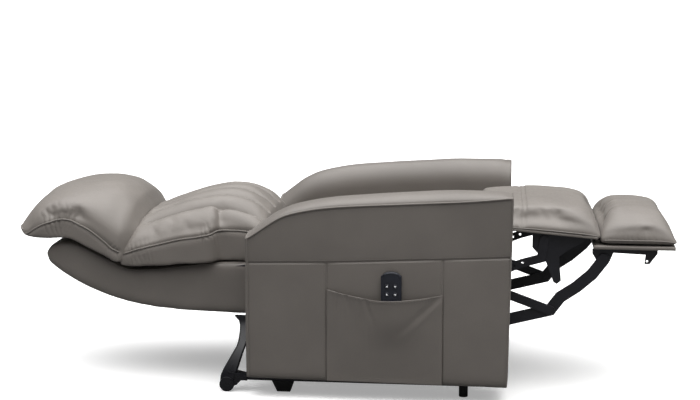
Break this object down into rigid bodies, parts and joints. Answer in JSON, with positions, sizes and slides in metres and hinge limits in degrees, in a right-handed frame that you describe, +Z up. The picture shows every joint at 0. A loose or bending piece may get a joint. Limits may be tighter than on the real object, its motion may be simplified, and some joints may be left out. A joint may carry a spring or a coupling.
{
  "type": "lift recliner chair",
  "caption": "Upholstered power lift recliner lying flat, with a raised footrest on steel links, a tilting lift base and a handset in a side pocket.",
  "frame": {"origin": "centre of the footprint of the flat-lying chair, on the floor", "axes": "+Z up, the chair faces -Y with its footrest, +X is the sitter's left; rest is the flat position with the lift down"},
  "size_m": [0.8178, 2.012, 0.628],
  "materials": {
    "upholstery": "satin",
    "black_steel": "satin",
    "gloss_black": "gloss",
    "board": "matte",
    "rubber": "matte",
    "motor_plastic": "matte",
    "bright_steel": "satin",
    "handset_plastic": "satin",
    "button_rubber": "matte"
  },
  "bodies": {
    "base": {"base_rail_left": "black_steel", "base_rail_right": "black_steel", "front_foot_left": "rubber", "front_foot_right": "rubber", "rear_foot_left": "rubber", "rear_foot_right": "rubber", "rear_leg_left": "gloss_black", "rear_leg_right": "gloss_black", "base_crossbar_front": "black_steel", "base_crossbar_middle": "black_steel", "base_crossbar_rear": "black_steel", "lift_bracket_left": "black_steel", "lift_bracket_right": "black_steel"},
    "front_lift_links": {"front_lift_link_left": "black_steel", "front_lift_link_right": "black_steel"},
    "rear_lift_links": {"rear_lift_link_left": "black_steel", "rear_lift_link_right": "black_steel"},
    "lift_motor": {"lift_motor": "motor_plastic"},
    "lift_rod": {"lift_rod": "bright_steel"},
    "chassis": {"side_plate_left": "black_steel", "side_plate_right": "black_steel", "chassis_tube_front": "black_steel", "chassis_tube_rear": "black_steel", "seat_deck": "board", "control_box": "motor_plastic", "seat_cushion": "upholstery", "arm_left": "upholstery", "arm_right": "upholstery", "handset_pocket": "upholstery"},
    "back": {"back_bracket_left": "black_steel", "back_bracket_right": "black_steel", "back_shell": "upholstery", "recline_clevis": "black_steel", "back_cushion": "upholstery", "head_pillow": "upholstery"},
    "recline_motor": {"recline_motor": "motor_plastic"},
    "recline_rod": {"recline_rod": "bright_steel"},
    "footrest": {"calf_board": "board", "foot_board": "board", "calf_pad": "upholstery", "foot_pad": "upholstery", "mid_bracket_left": "black_steel", "mid_bracket_right": "black_steel", "outer_bracket_left": "black_steel", "outer_bracket_right": "black_steel", "footrest_cross_bar": "black_steel"},
    "front_swing_links": {"front_swing_link_left": "black_steel", "front_swing_link_right": "black_steel"},
    "rear_swing_links": {"rear_swing_link_left": "black_steel", "rear_swing_link_right": "black_steel"},
    "lower_carry_links": {"lower_carry_link_left": "black_steel", "lower_carry_link_right": "black_steel"},
    "upper_carry_links": {"upper_carry_link_left": "black_steel", "upper_carry_link_right": "black_steel"},
    "handset": {"handset": "handset_plastic"},
    "button_back_up": {"button_back_up": "button_rubber"},
    "button_back_down": {"button_back_down": "button_rubber"},
    "button_lift_up": {"button_lift_up": "button_rubber"},
    "button_lift_down": {"button_lift_down": "button_rubber"}
  },
  "joints": [
    {"name": "lift", "type": "hinge", "parent": "base", "child": "front_lift_links", "pos_m": [0, -0.35, 0.058], "axis": [1, 0, 0], "range_deg": [0, 68]},
    {"name": "seat_tilt", "type": "hinge", "parent": "front_lift_links", "child": "chassis", "pos_m": [0, -0.14, 0.118], "axis": [1, 0, 0], "range_deg": [-42.01, 0]},
    {"name": "rear_lift_link_turn", "type": "hinge", "parent": "base", "child": "rear_lift_links", "pos_m": [0, -0.2431, 0.058], "axis": [1, 0, 0], "range_deg": [0, 57.85]},
    {"name": "lift_motor_swing", "type": "hinge", "parent": "base", "child": "lift_motor", "pos_m": [0, 0.2, 0.085], "axis": [1, 0, 0], "range_deg": [-6.13, 0]},
    {"name": "lift_rod_stroke", "type": "slide", "parent": "lift_motor", "child": "lift_rod", "axis": [0, -0.9864, 0.1644], "range_m": [0, 0.2131]},
    {"name": "back_recline", "type": "hinge", "parent": "chassis", "child": "back", "pos_m": [0, 0.2, 0.4], "axis": [1, 0, 0], "range_deg": [0, 68]},
    {"name": "recline_motor_swing", "type": "hinge", "parent": "chassis", "child": "recline_motor", "pos_m": [0, -0.25, 0.253], "axis": [1, 0, 0], "range_deg": [0, 8.94]},
    {"name": "recline_rod_stroke", "type": "slide", "parent": "recline_motor", "child": "recline_rod", "axis": [0, 0.9993, 0.0365], "range_m": [0, 0.1222]},
    {"name": "footrest_fold", "type": "hinge", "parent": "chassis", "child": "footrest", "pos_m": [0, -0.539, 0.5], "axis": [1, 0, 0], "range_deg": [0, 86]},
    {"name": "front_swing_turn", "type": "hinge", "parent": "chassis", "child": "front_swing_links", "pos_m": [0, -0.384, 0.342], "axis": [1, 0, 0], "range_deg": [0, 86.01]},
    {"name": "rear_swing_turn", "type": "hinge", "parent": "chassis", "child": "rear_swing_links", "pos_m": [0, -0.247, 0.307], "axis": [1, 0, 0], "range_deg": [0, 86.01]},
    {"name": "lower_carry_turn", "type": "hinge", "parent": "front_swing_links", "child": "lower_carry_links", "pos_m": [0, -0.636, 0.25], "axis": [1, 0, 0], "range_deg": [-86.01, 0]},
    {"name": "upper_carry_turn", "type": "hinge", "parent": "front_swing_links", "child": "upper_carry_links", "pos_m": [0, -0.459, 0.307], "axis": [1, 0, 0], "range_deg": [-86.01, 0]},
    {"name": "handset_out", "type": "slide", "parent": "chassis", "child": "handset", "axis": [0, 0, 1], "range_m": [0, 0.15]},
    {"name": "press_back_up", "type": "slide", "parent": "handset", "child": "button_back_up", "axis": [1, 0, 0], "range_m": [0, 0.0015], "stiffness_N_per_m": 400},
    {"name": "press_back_down", "type": "slide", "parent": "handset", "child": "button_back_down", "axis": [1, 0, 0], "range_m": [0, 0.0015], "stiffness_N_per_m": 400},
    {"name": "press_lift_up", "type": "slide", "parent": "handset", "child": "button_lift_up", "axis": [1, 0, 0], "range_m": [0, 0.0015], "stiffness_N_per_m": 400},
    {"name": "press_lift_down", "type": "slide", "parent": "handset", "child": "button_lift_down", "axis": [1, 0, 0], "range_m": [0, 0.0015], "stiffness_N_per_m": 400}
  ],
  "couplings": [
    {"joint": "seat_tilt", "follows": "lift", "ratio": -0.61765},
    {"joint": "rear_lift_link_turn", "follows": "lift", "ratio": 0.85054},
    {"joint": "lift_motor_swing", "follows": "lift", "ratio": -0.090063},
    {"joint": "lift_rod_stroke", "follows": "lift", "m_per_rad": 0.17916},
    {"joint": "recline_motor_swing", "follows": "back_recline", "ratio": 0.13128},
    {"joint": "recline_rod_stroke", "follows": "back_recline", "m_per_rad": 0.10252},
    {"joint": "front_swing_turn", "follows": "footrest_fold", "ratio": 1},
    {"joint": "rear_swing_turn", "follows": "footrest_fold", "ratio": 1},
    {"joint": "lower_carry_turn", "follows": "footrest_fold", "ratio": -1},
    {"joint": "upper_carry_turn", "follows": "footrest_fold", "ratio": -1}
  ]
}
